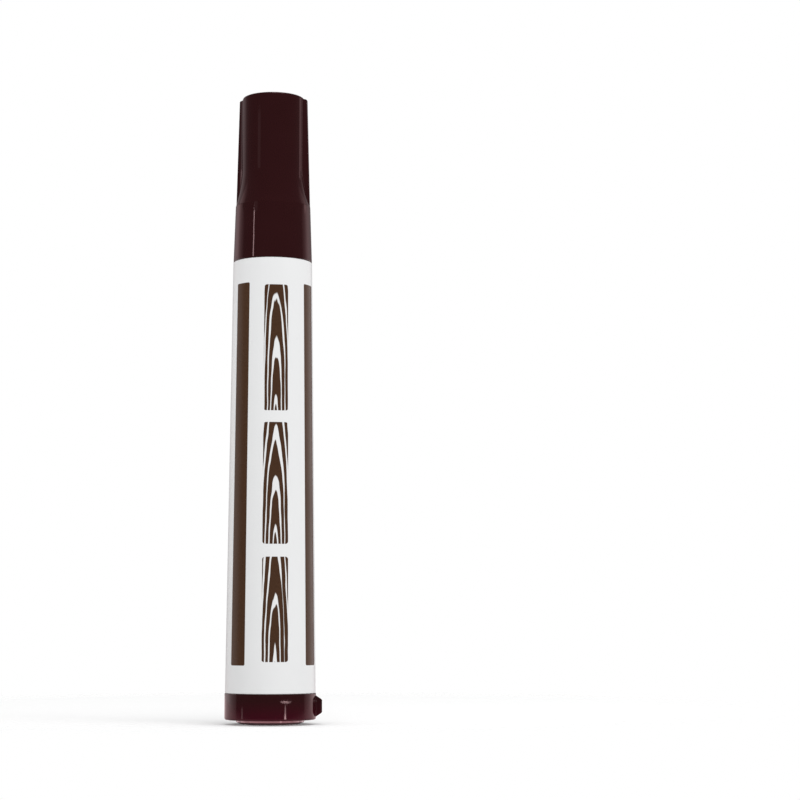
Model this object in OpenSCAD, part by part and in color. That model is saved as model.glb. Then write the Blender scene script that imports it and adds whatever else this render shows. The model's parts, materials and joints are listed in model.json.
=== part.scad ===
// Furniture touch-up paint pen: a capped, valve-action marker that stands on its tail.
// +Z runs along the pen from the tail to the cap, and the origin is the centre of the flat foot.

/* [Tail plug] */
// How far the tail ring stands out of the barrel
tail_ring_proud = 0.24; // [0.16:0.02:1]
// Height of the tail ring
tail_ring_h = 5.6; // [5:0.05:9]
// Rounding of the tail ring's lower edge
tail_ring_round = 0.4; // [0.1:0.05:1]
// Bevel of the tail ring's upper edge
tail_ring_bevel = 0.12; // [0.05:0.01:0.2]
// Diameter of the end boss where it leaves the ring
boss_d = 14.6; // [13:0.1:16]
// Height of the end boss below the ring
boss_h = 1.05; // [0.8:0.05:1.5]
// Height of the straight side of the end boss
boss_side_h = 0.5; // [0.2:0.05:0.6]
// Diameter of the flat foot that the pen stands on
foot_d = 10; // [9:0.1:12]
// Wall of the plug's cup
plug_wall = 1.35; // [1:0.05:1.8]
// Thickness of the plug's closed end
plug_floor = 1.8; // [1.4:0.05:3]
// Length of the plug inside the barrel
plug_len = 12.6; // [10:0.1:16]
// Depth of the grooves that leave the plug's sealing beads
plug_groove_depth = 0.3; // [0.1:0.05:0.5]
// Width of each of those grooves
plug_groove_w = 1.4; // [0.8:0.1:1.8]
// Distance from one groove to the next
plug_groove_pitch = 2.8; // [2.4:0.1:3]
// Number of those grooves
plug_groove_count = 3; // [1:1:3]
// Width of the anti-roll lug around the ring
lug_w = 3.3; // [2:0.1:5]
// How far the lug stands out of the ring
lug_proud = 1.3; // [0.8:0.05:2]
// Height of the lug where it leaves the ring
lug_root_h = 4.4; // [3.8:0.05:4.6]
// Height of the lug's outer face
lug_face_h = 2.7; // [2:0.05:3.4]
// How far the lug sits above the middle of the ring
lug_lift = 0.06; // [0:0.02:0.2]

/* [Barrel] */
// Length of the barrel from the tail ring to the cap's rim
barrel_len = 93.5; // [80:0.1:110]
// Outer diameter of the barrel at the tail
barrel_rear_d = 19.12; // [18.4:0.02:21]
// Outer diameter of the barrel under the cap
barrel_front_d = 16.94; // [16.6:0.02:18]
// Wall of the barrel round the tail plug and at the front of the paint chamber
barrel_wall = 1.31; // [1.1:0.01:1.6]
// Length of the cone between the chamber and the front bore
chamber_cone_len = 0.9; // [0.5:0.1:2]
// Bore that takes the front section
front_bore_d = 12.86; // [12.6:0.02:13.2]
// Spare bore length past the plug and past the front section
bore_spare = 0.6; // [0.3:0.1:1.5]

/* [Label] */
// Thickness of the label film
label_t = 0.12; // [0.08:0.01:0.2]
// Thickness of the glue line under the film
label_glue = 0.02; // [0.01:0.01:0.04]
// Bare barrel at each end of the film
label_margin = 0.1; // [0.05:0.05:2]

/* [Front section] */
// Length of the spigot inside the barrel
spigot_len = 14.4; // [13:0.1:18]
// Diameter of the seat that takes the cap
cap_seat_d = 14; // [13.6:0.05:14.1]
// Length of the seat that takes the cap
cap_seat_len = 9.2; // [8:0.1:9.4]
// Bevel at the front of the seat
cap_seat_bevel = 0.8; // [0.4:0.1:1]
// Height of the grip bead on the seat
grip_bead_proud = 0.05; // [0.02:0.01:0.07]
// Width of the grip bead
grip_bead_w = 1.2; // [0.8:0.1:2]
// Distance of the grip bead from the cap's rim
grip_bead_rise = 3; // [2:0.1:6]
// Diameter of the cone where it leaves the seat
cone_base_d = 10; // [9.2:0.1:10.4]
// Length of the cone
cone_len = 7; // [6:0.1:8]
// Diameter of the nose around the nib
nose_d = 7.5; // [7:0.05:7.8]
// Length of the nose
nose_len = 3.6; // [3:0.1:4.5]
// Rounding of the nose's front edge
nose_round = 0.5; // [0.2:0.05:0.8]
// Diameter of the socket that holds the valve
socket_d = 9.8; // [9.4:0.05:10.2]
// How far the socket reaches past the cap's rim
socket_rise = 4.05; // [3:0.05:5]

/* [Nib] */
// Diameter of the felt nib
nib_d = 5; // [4:0.1:5.4]
// Length of the felt nib
nib_len = 22.3; // [21.8:0.1:23]
// Length of the nib in front of the nose
nib_out = 6.5; // [5.5:0.1:7]
// Length of the nib's rounded point
nib_point_len = 3.6; // [2:0.1:5]
// Bevel of the nib's rear edge
nib_bevel = 0.3; // [0.1:0.05:0.6]

/* [Valve] */
// Length of the valve seat bush
bush_len = 6.5; // [6:0.1:8]
// Depth of the pocket behind the nib
nib_pocket_depth = 2.5; // [2.3:0.1:3]
// Diameter of the pocket behind the nib
nib_pocket_d = 6.4; // [6:0.1:7.4]
// Thickness of the wall that the washer seals on
bush_wall = 1.5; // [1:0.1:1.8]
// Diameter of the flow hole through that wall
flow_hole_d = 3.8; // [3.2:0.1:4.6]
// Diameter of the pocket for the valve head
head_pocket_d = 7.6; // [7:0.1:8.2]
// Diameter of the sealing washer
washer_d = 6.4; // [5.6:0.1:6.8]
// Thickness of the sealing washer
washer_t = 1; // [0.6:0.1:1.4]
// Diameter of the stem's push rod
rod_d = 2.4; // [2:0.1:2.8]
// Diameter of the stem's head
head_d = 6; // [5.6:0.1:6.6]
// Thickness of the stem's head
head_t = 1.2; // [0.8:0.1:1.6]
// Diameter of the spring guide under the head
spring_guide_d = 3.4; // [2.8:0.1:3.8]
// Length of the spring guide under the head
spring_guide_len = 2.2; // [1:0.1:4]
// Diameter of the stem's tail
stem_tail_d = 2; // [1.6:0.1:2.4]
// Length of the stem's tail behind the cage
stem_tail_out = 1.5; // [0.5:0.1:2]
// Closed length of the valve spring
spring_len = 8; // [7:0.1:9]
// Diameter of the spring's coil at the middle of its wire
spring_coil_d = 4.7; // [4.5:0.1:5.4]
// Diameter of the spring's wire
spring_wire_d = 0.6; // [0.4:0.05:0.7]
// Turns of the spring
spring_turns = 6; // [4:1:6]
// Wall of the valve cage
cage_wall = 0.95; // [0.7:0.05:1.3]
// Thickness of the cage's floor
cage_floor = 1.2; // [0.8:0.1:1.6]
// Diameter of the paint ports in the cage's floor
port_d = 1.4; // [0.8:0.1:1.5]
// Diameter of the ring of paint ports
port_ring_d = 6; // [5.6:0.1:6]
// Number of paint ports
port_count = 6; // [3:1:8]

/* [Mixing balls] */
// Diameter of a mixing ball
ball_d = 6; // [4:0.1:6]
// Gap between the two balls
ball_gap = 0.6; // [0.4:0.1:1.2]

/* [Cap] */
// Length of the cap
cap_len = 36.85; // [36:0.05:40]
// How far the cap is turned on the barrel from the lug's side
cap_turn = -9.5; // [-45:0.5:45]
// How far the cap's rim lies inside the label
cap_rim_inset = 0.02; // [0:0.02:0.3]
// Length of the cap's skirt
skirt_len = 12.4; // [12:0.1:15]
// How much the skirt draws in towards its top
skirt_draft = 0.4; // [0.2:0.02:0.5]
// Rounding of the crease between skirt and flare
crease_round = 5; // [2:0.5:8]
// Length of the flare between skirt and grip
flare_len = 9.7; // [7:0.1:11]
// Diameter of the cap's round grip
grip_d = 13.66; // [13.4:0.02:14.2]
// Rounding of the cap's top edge
cap_top_round = 0.4; // [0.2:0.05:0.8]
// Thickness of the cap's top
cap_top_t = 1.6; // [1:0.1:2.5]
// Wall of the cap's round grip
grip_wall = 1.25; // [1:0.05:1.5]
// Spare bore length in front of the cap's seat
cap_bore_spare = 1; // [0.6:0.1:1.4]
// Length of the cone between the cap's two bores
cap_bore_cone_len = 1.6; // [1.2:0.1:2]
// Diameter across the tips of the side fins at their top
fin_top_d = 15.06; // [14.8:0.02:15.8]
// How far the fins stop short of the cap's top
fin_drop = 0.45; // [0.3:0.05:2]
// Rounding of the fins' top corners
fin_round = 0.15; // [0.1:0.05:0.8]
// Width of a fin where it meets the grip
fin_root_w = 4.8; // [4:0.1:5.4]
// Width of a fin half way up its tip
fin_tip_w = 0.9; // [0.6:0.05:1.2]
// Radius of the hollows beside the fins
fin_hollow_r = 3; // [2.6:0.1:3.6]

/* [Cap liner] */
// Wall of the liner
liner_wall = 1.1; // [0.8:0.05:1.3]
// Thickness of the liner's closed end
liner_top_t = 1; // [0.6:0.1:1.4]
// Height of the liner's sealing lip
lip_h = 1.2; // [0.8:0.1:2]
// Distance of the lip from the start of the nose
lip_rise = 0.2; // [0.1:0.1:1]

/* [Clearances] */
// Radial clearance of pieces that are pressed together
press_gap = 0.03; // [0.01:0.01:0.05]
// Radial clearance of the nib and the stem's tail in their guides
running_gap = 0.05; // [0.02:0.01:0.1]
// Radial clearance of the cap on its seat
cap_gap = 0.1; // [0.08:0.01:0.2]
// Radial clearance of the liner's lip on the nose
lip_gap = 0.1; // [0.05:0.01:0.2]

/* [Hidden] */

$fn = 96;
arc_steps = 8;
spring_rings = 8;
spring_sides = 6;
overlap = 1;

mahogany = [0.17, 0.07, 0.075];
white_plastic = [0.93, 0.93, 0.92];
natural_plastic = [0.86, 0.87, 0.84];
paper_white = [0.95, 0.95, 0.95];
felt_brown = [0.27, 0.09, 0.06];
seal_black = [0.07, 0.07, 0.07];
steel = [0.72, 0.73, 0.75];

// Heights along the pen, from the foot up
ring_z = boss_h;
barrel_z = ring_z + tail_ring_h;
shoulder_z = barrel_z + barrel_len;
top_z = shoulder_z + cap_len;

// Tail plug and barrel bores
ring_r = barrel_rear_d / 2 + tail_ring_proud;
plug_bore_r = barrel_rear_d / 2 - barrel_wall;
plug_r = plug_bore_r - press_gap;
plug_top_z = barrel_z + plug_len;
spigot_z = shoulder_z - spigot_len;
front_bore_z = spigot_z - bore_spare;
chamber_top_z = front_bore_z - chamber_cone_len;
chamber_front_r = barrel_r(chamber_top_z) - barrel_wall;
front_bore_r = front_bore_d / 2;

// Front section and nib
spigot_r = front_bore_r - press_gap;
seat_top_z = shoulder_z + cap_seat_len;
cone_z = seat_top_z + cap_seat_bevel;
nose_z = cone_z + cone_len;
nose_top_z = nose_z + nose_len;
nib_r = nib_d / 2;
nib_tip_z = nose_top_z + nib_out;
nib_rear_z = nib_tip_z - nib_len;
nib_bore_r = nib_r + running_gap;
socket_r = socket_d / 2;
socket_top_z = shoulder_z + socket_rise;

// Valve
bush_r = socket_r - press_gap;
bush_z = socket_top_z - bush_len;
wall_top_z = socket_top_z - nib_pocket_depth;
wall_z = wall_top_z - bush_wall;
washer_z = wall_z - washer_t;
head_z = washer_z - head_t;
cage_floor_z = head_z - spring_len;
cage_z = cage_floor_z - cage_floor;
stem_tail_z = cage_z - stem_tail_out;
stem_hole_r = stem_tail_d / 2 + running_gap;

// Spring
wire_r = spring_wire_d / 2;
spring_end_gap = 0.02;
spring_low_z = cage_floor_z + wire_r + spring_end_gap;
spring_high_z = head_z - wire_r - spring_end_gap;
spring_steps = spring_turns * spring_rings;

// Mixing balls rest on the plug's floor, side by side
ball_r = ball_d / 2;
ball_x = ball_r + ball_gap / 2;
ball_z = plug_floor + ball_r;

// Cap
rim_r = barrel_front_d / 2 + label_glue + label_t - cap_rim_inset;
crease_r = rim_r - skirt_draft;
crease_z = shoulder_z + skirt_len;
flare_z = crease_z + flare_len;
grip_r = grip_d / 2;
flare_sink = 0.05;
flare_in_r = grip_r - flare_sink;
flare_step = crease_r - flare_in_r;
flare_arc_r = (flare_len * flare_len + flare_step * flare_step) / (2 * flare_step);
fin_top_z = top_z - fin_drop;
fin_top_r = fin_top_d / 2;
fin_mid_r = (fin_top_r + crease_r) / 2;
cap_bore_r = cap_seat_d / 2 + cap_gap;
cap_bore_z = cone_z + cap_bore_spare;
liner_bore_r = grip_r - grip_wall;
liner_bore_z = cap_bore_z + cap_bore_cone_len;
cap_roof_z = top_z - cap_top_t;

// Liner
liner_r = liner_bore_r - press_gap;
liner_in_r = liner_r - liner_wall;
liner_z = nose_z + lip_rise;
liner_top_z = cap_roof_z - press_gap;
liner_roof_z = liner_top_z - liner_top_t;
lip_r = nose_d / 2 + lip_gap;

// Points of an arc about [x, y], from angle a to angle b
function arc(x, y, r, a, b, n = arc_steps) =
    [for (i = [0:n]) let (t = a + (b - a) * i / n) [x + r * cos(t), y + r * sin(t)]];

// Outer radius of the barrel at height z
function barrel_r(z) = (barrel_rear_d + (barrel_front_d - barrel_rear_d) * (z - barrel_z) / barrel_len) / 2;

module turned(points) {
    rotate_extrude() polygon(points);
}

// Tail plug
boss_arc_dx = (boss_d - foot_d) / 2;
boss_arc_dz = boss_h - boss_side_h;
boss_arc_r = (boss_arc_dx * boss_arc_dx + boss_arc_dz * boss_arc_dz) / (2 * boss_arc_dz);
boss_arc_angle = asin(boss_arc_dx / boss_arc_r);

module plug_body() {
    turned(concat(
        [[0, 0]],
        arc(foot_d / 2, boss_arc_r, boss_arc_r, -90, -90 + boss_arc_angle),
        [[boss_d / 2, ring_z]],
        arc(ring_r - tail_ring_round, ring_z + tail_ring_round, tail_ring_round, -90, 0),
        [[ring_r, barrel_z - tail_ring_bevel],
         [ring_r - tail_ring_bevel, barrel_z],
         [plug_r, barrel_z],
         [plug_r, plug_top_z],
         [plug_r - plug_wall, plug_top_z],
         [plug_r - plug_wall, plug_floor],
         [0, plug_floor]]));
}

module plug_groove(z) {
    turned([[plug_r - plug_groove_depth, z], [plug_r + overlap, z],
            [plug_r + overlap, z + plug_groove_w], [plug_r - plug_groove_depth, z + plug_groove_w]]);
}

module anti_roll_lug() {
    root_x = ring_r - overlap;
    face_x = ring_r + lug_proud;
    translate([0, 0, ring_z + tail_ring_h / 2 + lug_lift])
        rotate([90, 0, 0])
            linear_extrude(lug_w, center = true)
                polygon([[root_x, -lug_root_h / 2], [ring_r, -lug_root_h / 2],
                         [face_x, -lug_face_h / 2], [face_x, lug_face_h / 2],
                         [ring_r, lug_root_h / 2], [root_x, lug_root_h / 2]]);
}

module tail_plug() {
    groove_first_z = plug_top_z - plug_groove_count * plug_groove_pitch;
    color(mahogany)
        difference() {
            union() {
                plug_body();
                anti_roll_lug();
            }
            for (i = [0:plug_groove_count - 1])
                plug_groove(groove_first_z + i * plug_groove_pitch);
        }
}

// Barrel and its label
module barrel() {
    color(white_plastic)
        turned([[plug_bore_r, barrel_z],
                [barrel_rear_d / 2, barrel_z],
                [barrel_front_d / 2, shoulder_z],
                [front_bore_r, shoulder_z],
                [front_bore_r, front_bore_z],
                [chamber_front_r, chamber_top_z],
                [plug_bore_r, plug_top_z + bore_spare]]);
}

module label_wrap() {
    low_z = barrel_z + label_margin;
    high_z = shoulder_z - label_margin;
    film_in = label_glue;
    film_out = label_glue + label_t;
    color(paper_white)
        turned([[barrel_r(low_z) + film_in, low_z], [barrel_r(low_z) + film_out, low_z],
                [barrel_r(high_z) + film_out, high_z], [barrel_r(high_z) + film_in, high_z]]);
}

// Mixing balls
module mixing_ball(side) {
    color(steel)
        translate([side * ball_x, 0, ball_z]) sphere(ball_r);
}

module mixing_ball_left() {
    mixing_ball(-1);
}

module mixing_ball_right() {
    mixing_ball(1);
}

// Front section that holds the nib and the valve and takes the cap
module front_section() {
    seat_r = cap_seat_d / 2;
    bead_z = shoulder_z + grip_bead_rise;
    color(white_plastic)
        turned(concat(
            [[socket_r, spigot_z],
             [spigot_r, spigot_z],
             [spigot_r, shoulder_z],
             [seat_r, shoulder_z],
             [seat_r, bead_z - grip_bead_w / 2],
             [seat_r + grip_bead_proud, bead_z],
             [seat_r, bead_z + grip_bead_w / 2],
             [seat_r, seat_top_z],
             [seat_r - cap_seat_bevel, cone_z],
             [cone_base_d / 2, cone_z],
             [nose_d / 2, nose_z]],
            arc(nose_d / 2 - nose_round, nose_top_z - nose_round, nose_round, 0, 90),
            [[nib_bore_r, nose_top_z],
             [nib_bore_r, socket_top_z],
             [socket_r, socket_top_z]]));
}

// Felt nib with a bullet point
module nib() {
    point_z = nib_tip_z - nib_point_len;
    color(felt_brown)
        turned(concat(
            [[0, nib_rear_z], [nib_r - nib_bevel, nib_rear_z], [nib_r, nib_rear_z + nib_bevel]],
            [for (i = [0:arc_steps]) let (t = 90 * i / arc_steps)
                [nib_r * cos(t), point_z + nib_point_len * sin(t)]]));
}

// Valve: the nib pushes the stem, and the washer leaves the wall of the bush
module valve_seat() {
    color(natural_plastic)
        turned([[flow_hole_d / 2, wall_z],
                [head_pocket_d / 2, wall_z],
                [head_pocket_d / 2, bush_z],
                [bush_r, bush_z],
                [bush_r, socket_top_z],
                [nib_pocket_d / 2, socket_top_z],
                [nib_pocket_d / 2, wall_top_z],
                [flow_hole_d / 2, wall_top_z]]);
}

module valve_washer() {
    color(seal_black)
        difference() {
            translate([0, 0, washer_z]) cylinder(d = washer_d, h = washer_t);
            translate([0, 0, washer_z - overlap])
                cylinder(r = rod_d / 2 + press_gap, h = washer_t + 2 * overlap);
        }
}

module valve_stem() {
    color(natural_plastic)
        turned([[0, stem_tail_z],
                [stem_tail_d / 2, stem_tail_z],
                [stem_tail_d / 2, head_z - spring_guide_len],
                [spring_guide_d / 2, head_z - spring_guide_len],
                [spring_guide_d / 2, head_z],
                [head_d / 2, head_z],
                [head_d / 2, washer_z],
                [rod_d / 2, washer_z],
                [rod_d / 2, nib_rear_z],
                [0, nib_rear_z]]);
}

module valve_cage() {
    color(natural_plastic)
        difference() {
            turned([[stem_hole_r, cage_z],
                    [bush_r, cage_z],
                    [bush_r, bush_z],
                    [bush_r - cage_wall, bush_z],
                    [bush_r - cage_wall, cage_floor_z],
                    [stem_hole_r, cage_floor_z]]);
            for (i = [0:port_count - 1])
                rotate([0, 0, 360 * i / port_count])
                    translate([port_ring_d / 2, 0, cage_z - overlap])
                        cylinder(d = port_d, h = cage_floor + 2 * overlap);
        }
}

// Spring: one unbroken tube along a helix
function spring_centre(i) =
    let (t = 360 * i / spring_rings, r = spring_coil_d / 2)
    [r * cos(t), r * sin(t), spring_low_z + (spring_high_z - spring_low_z) * i / spring_steps];

function spring_ring(i) =
    let (c = spring_centre(i), t = 360 * i / spring_rings)
    [for (k = [0:spring_sides - 1])
        let (b = 90 + 360 * k / spring_sides)
        [c.x + wire_r * cos(b) * cos(t), c.y + wire_r * cos(b) * sin(t), c.z + wire_r * sin(b)]];

function spring_faces() =
    let (s = spring_sides, last = spring_steps * spring_sides)
    concat(
        [for (i = [0:spring_steps - 1], k = [0:s - 1]) [i * s + k, (i + 1) * s + k, i * s + (k + 1) % s]],
        [for (i = [0:spring_steps - 1], k = [0:s - 1])
            [i * s + (k + 1) % s, (i + 1) * s + k, (i + 1) * s + (k + 1) % s]],
        [for (k = [1:s - 2]) [0, k, k + 1]],
        [for (k = [1:s - 2]) [last, last + k + 1, last + k]]);

// Least gap between stretches of the wire that are at least half a turn apart
function spring_self_gap() =
    min([for (i = [0:spring_steps], j = [0:spring_steps])
        if (j - i >= spring_rings / 2) norm(spring_centre(i) - spring_centre(j))]) - spring_wire_d;

module valve_spring() {
    echo(str("Least gap of the valve spring to itself: ", spring_self_gap(), " mm"));
    color(steel)
        polyhedron(
            points = [for (i = [0:spring_steps]) each spring_ring(i)],
            faces = spring_faces());
}

// Cap: a skirt that flares in to a round grip with two opposite side fins
// The crease is an arc that touches the skirt's side and the flare's arc
skirt_side = [crease_r - rim_r, skirt_len];
skirt_up = skirt_side / norm(skirt_side);
skirt_in = [-skirt_up.y, skirt_up.x];
flare_centre = [flare_in_r + flare_arc_r, flare_z];
crease_foot = [rim_r, shoulder_z] + skirt_in * crease_round;
crease_run = skirt_up * (crease_foot - flare_centre);
crease_span = norm(crease_foot - flare_centre);
crease_reach = flare_arc_r + crease_round;
crease_drop = sqrt(crease_run * crease_run + crease_reach * crease_reach - crease_span * crease_span);
crease_rise = -crease_run - crease_drop;
crease_centre = crease_foot + skirt_up * crease_rise;
crease_end = crease_centre + (flare_centre - crease_centre) * crease_round / crease_reach;
crease_from = atan2(-skirt_in.y, -skirt_in.x);
crease_to = atan2(crease_end.y - crease_centre.y, crease_end.x - crease_centre.x);

module cap_skirt() {
    rotate_extrude()
        difference() {
            polygon(concat(
                [[0, shoulder_z], [rim_r, shoulder_z]],
                arc(crease_centre.x, crease_centre.y, crease_round, crease_from, crease_to),
                [[crease_end.x, flare_z], [0, flare_z]]));
            translate(flare_centre)
                circle(flare_arc_r);
        }
}

module cap_grip() {
    turned(concat(
        [[0, shoulder_z + cap_seat_len]],
        [[grip_r, shoulder_z + cap_seat_len]],
        arc(grip_r - cap_top_round, top_z - cap_top_round, cap_top_round, 0, 90),
        [[0, top_z]]));
}

module fin_bar() {
    intersection() {
        turned(concat(
            [[0, crease_z - overlap], [crease_r, crease_z - overlap], [crease_r, crease_z]],
            arc(fin_top_r - fin_round, fin_top_z - fin_round, fin_round, 0, 90),
            [[0, fin_top_z]]));
        translate([-rim_r, -fin_root_w / 2, crease_z - overlap])
            cube([2 * rim_r, fin_root_w, top_z]);
    }
}

// Each hollow passes through the fin's root on the grip and the edge of its tip
fin_root = [sqrt(grip_r * grip_r - fin_root_w * fin_root_w / 4), fin_root_w / 2];
fin_tip = [fin_mid_r, fin_tip_w / 2];
fin_chord = fin_tip - fin_root;
fin_out = [-fin_chord.y, fin_chord.x] / norm(fin_chord);
fin_hollow = (fin_root + fin_tip) / 2
    + fin_out * sqrt(fin_hollow_r * fin_hollow_r - fin_chord * fin_chord / 4);

module fin_hollows() {
    for (x = [-1, 1], y = [-1, 1])
        translate([x * fin_hollow.x, y * fin_hollow.y, seat_top_z])
            cylinder(r = fin_hollow_r, h = cap_len);
}

module cap_cavity() {
    turned([[0, shoulder_z - overlap],
            [cap_bore_r, shoulder_z - overlap],
            [cap_bore_r, cap_bore_z],
            [liner_bore_r, liner_bore_z],
            [liner_bore_r, cap_roof_z],
            [0, cap_roof_z]]);
}

module cap_shell() {
    color(mahogany)
        difference() {
            union() {
                cap_skirt();
                rotate([0, 0, cap_turn])
                    difference() {
                        union() {
                            cap_grip();
                            fin_bar();
                        }
                        fin_hollows();
                    }
            }
            cap_cavity();
        }
}

// Liner that seals on the nose and keeps the nib from drying
module cap_liner() {
    color(natural_plastic)
        turned([[lip_r, liner_z],
                [liner_r, liner_z],
                [liner_r, liner_top_z],
                [0, liner_top_z],
                [0, liner_roof_z],
                [liner_in_r, liner_roof_z],
                [liner_in_r, liner_z + lip_h],
                [lip_r, liner_z + lip_h]]);
}

tail_plug();
barrel();
label_wrap();
mixing_ball_left();
mixing_ball_right();
front_section();
nib();
valve_seat();
valve_washer();
valve_stem();
valve_spring();
valve_cage();
cap_shell();
cap_liner();
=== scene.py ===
import json
import math

import bmesh
import bpy
from mathutils import Matrix, Vector


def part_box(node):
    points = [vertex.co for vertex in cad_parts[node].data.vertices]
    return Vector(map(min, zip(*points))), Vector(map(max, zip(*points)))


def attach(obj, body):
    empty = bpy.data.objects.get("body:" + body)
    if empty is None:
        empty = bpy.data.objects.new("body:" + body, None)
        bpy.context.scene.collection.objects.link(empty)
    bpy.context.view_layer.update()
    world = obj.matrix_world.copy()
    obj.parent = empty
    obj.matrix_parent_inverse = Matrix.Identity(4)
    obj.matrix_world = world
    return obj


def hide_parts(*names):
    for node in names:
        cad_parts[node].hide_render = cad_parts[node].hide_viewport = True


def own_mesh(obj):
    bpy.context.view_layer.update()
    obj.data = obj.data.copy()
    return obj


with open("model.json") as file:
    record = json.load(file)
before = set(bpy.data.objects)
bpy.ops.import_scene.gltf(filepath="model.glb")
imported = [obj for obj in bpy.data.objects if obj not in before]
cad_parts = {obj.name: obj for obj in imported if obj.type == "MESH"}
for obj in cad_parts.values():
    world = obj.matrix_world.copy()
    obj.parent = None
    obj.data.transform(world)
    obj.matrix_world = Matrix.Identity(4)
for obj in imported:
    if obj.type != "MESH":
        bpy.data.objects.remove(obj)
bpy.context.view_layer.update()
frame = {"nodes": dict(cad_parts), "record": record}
mm = 0.001  # sizes are in millimetres, turns in degrees and texture scales per metre


# Outlines and turned meshes

def smoothMin(a, b, soft):
    blend = max(soft - abs(a - b), 0) / soft
    return min(a, b) - blend * blend * soft / 4


def smoothMax(a, b, soft):
    return -smoothMin(-a, -b, soft)


def evenSteps(low, high, step):
    count = max(1, round((high - low) / step))
    return [low + (high - low) * k / count for k in range(count + 1)]


def roundedOutline(corners, loop=False, steps=5, support=0.12, edgeShare=0.45):
    # corners are (radius, height, rounding); each rounding becomes an arc with a support point beside it
    # an arc takes up no more than edgeShare of each edge that it joins
    points = []
    last = len(corners) - 1
    for k, (r, z, soft) in enumerate(corners):
        here = Vector((r, z))
        if soft == 0 or (not loop and k in (0, last)):
            points.append((r, z))
            continue
        back = Vector(corners[k - 1][:2]) - here
        ahead = Vector(corners[(k + 1) % len(corners)][:2]) - here
        half = back.angle(ahead) / 2
        reach = min(soft / math.tan(half), edgeShare * back.length, edgeShare * ahead.length)
        radius = reach * math.tan(half)
        back.normalize()
        ahead.normalize()
        middle = here + (back + ahead).normalized() * (radius / math.sin(half))
        start = here + back * reach - middle
        sweep = start.angle_signed(here + ahead * reach - middle)
        points.append(tuple(here + back * (reach + support)))
        for s in range(steps + 1):
            turn = -sweep * s / steps
            x = start.x * math.cos(turn) - start.y * math.sin(turn)
            y = start.x * math.sin(turn) + start.y * math.cos(turn)
            points.append((middle.x + x, middle.y + y))
        points.append(tuple(here + ahead * (reach + support)))
    return points


def fanAngles(hotSpots=(), reach=0, fine=1, coarse=2.5):
    # directions round the axis, in radians, with fine steps within reach of the hot spots
    angles = []
    turn = 0
    while turn < 359.99:  # a whole turn would repeat the first direction
        near = min([abs((turn - spot + 180) % 360 - 180) for spot in hotSpots], default=360)
        angles.append(math.radians(turn))
        turn += fine if near < reach else coarse
    return angles


def turnedMesh(name, stations, angles, loop=False):
    # stations are (radius, height); a radius of 0 is a pole, and a function gives it for each direction
    mesh = bmesh.new()
    rings = []
    for r, z in stations:
        if r == 0:
            rings.append([mesh.verts.new((0, 0, z * mm))])
            continue
        ring = []
        for a in angles:
            reach = r(a, z) if callable(r) else r
            ring.append(mesh.verts.new((reach * math.cos(a) * mm, reach * math.sin(a) * mm, z * mm)))
        rings.append(ring)
    pairs = list(zip(rings, rings[1:]))
    if loop:
        pairs.append((rings[-1], rings[0]))
    count = len(angles)
    for low, high in pairs:
        for i in range(count):
            j = (i + 1) % count
            if len(low) == 1:
                mesh.faces.new((low[0], high[j], high[i]))
            elif len(high) == 1:
                mesh.faces.new((low[i], low[j], high[0]))
            else:
                mesh.faces.new((low[i], low[j], high[j], high[i]))
    return finishMesh(name, mesh)


def finishMesh(name, mesh):
    bmesh.ops.recalc_face_normals(mesh, faces=mesh.faces)
    for face in mesh.faces:
        face.smooth = True
    data = bpy.data.meshes.new(name)
    mesh.to_mesh(data)
    mesh.free()
    piece = bpy.data.objects.new(name, data)
    bpy.context.scene.collection.objects.link(piece)
    return piece


def dress(piece, material, body, node):
    piece.data.materials.append(material)
    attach(piece, body)
    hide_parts(node)
    print("made", piece.name, len(piece.data.polygons), "faces")


def heightsOf(node):
    return [corner.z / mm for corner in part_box(node)]


# Small helpers for the node trees

def newFinish(name):
    material = bpy.data.materials.new(name)
    material.use_nodes = True
    tree = material.node_tree
    return material, tree, tree.nodes["Principled BSDF"]


def feed(tree, socket, value):
    if isinstance(value, bpy.types.NodeSocket):
        tree.links.new(value, socket)
    else:
        socket.default_value = value


def calc(tree, how, a, b=0.0, c=0.0):
    node = tree.nodes.new("ShaderNodeMath")
    node.operation = how
    for socket, value in zip(node.inputs, (a, b, c)):
        feed(tree, socket, value)
    return node.outputs[0]


def longSide(tree, a, b):
    # the long side of a right-angled triangle with the sides a and b
    squares = [calc(tree, "MULTIPLY", side, side) for side in (a, b)]
    return calc(tree, "SQRT", calc(tree, "ADD", *squares))


def spread(tree, value, low, high, toLow, toHigh, how="LINEAR"):
    node = tree.nodes.new("ShaderNodeMapRange")
    node.interpolation_type = how
    names = ("Value", "From Min", "From Max", "To Min", "To Max")
    for name, given in zip(names, (value, low, high, toLow, toHigh)):
        feed(tree, node.inputs[name], given)
    return node.outputs["Result"]


def mixColour(tree, share, first, second):
    node = tree.nodes.new("ShaderNodeMix")
    node.data_type = "RGBA"
    feed(tree, node.inputs["Factor"], share)
    for name, colour in (("A", first), ("B", second)):
        feed(tree, node.inputs[name], colour if isinstance(colour, bpy.types.NodeSocket) else (*colour, 1))
    return node.outputs["Result"]


def place(tree, stretch=(1, 1, 1)):
    # where a point lies on its piece; a small last value of stretch draws a grain out along the pen
    spot = tree.nodes.new("ShaderNodeTexCoord")
    mapping = tree.nodes.new("ShaderNodeMapping")
    mapping.inputs["Scale"].default_value = stretch
    tree.links.new(spot.outputs["Object"], mapping.inputs["Vector"])
    return mapping.outputs["Vector"]


def splitPlace(tree, where):
    node = tree.nodes.new("ShaderNodeSeparateXYZ")
    tree.links.new(where, node.inputs[0])
    return node.outputs


def mottle(tree, where, scale, detail=2.0, roughness=0.5):
    node = tree.nodes.new("ShaderNodeTexNoise")
    node.inputs["Scale"].default_value = scale
    node.inputs["Detail"].default_value = detail
    node.inputs["Roughness"].default_value = roughness
    tree.links.new(where, node.inputs["Vector"])
    return node.outputs["Fac"]


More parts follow.
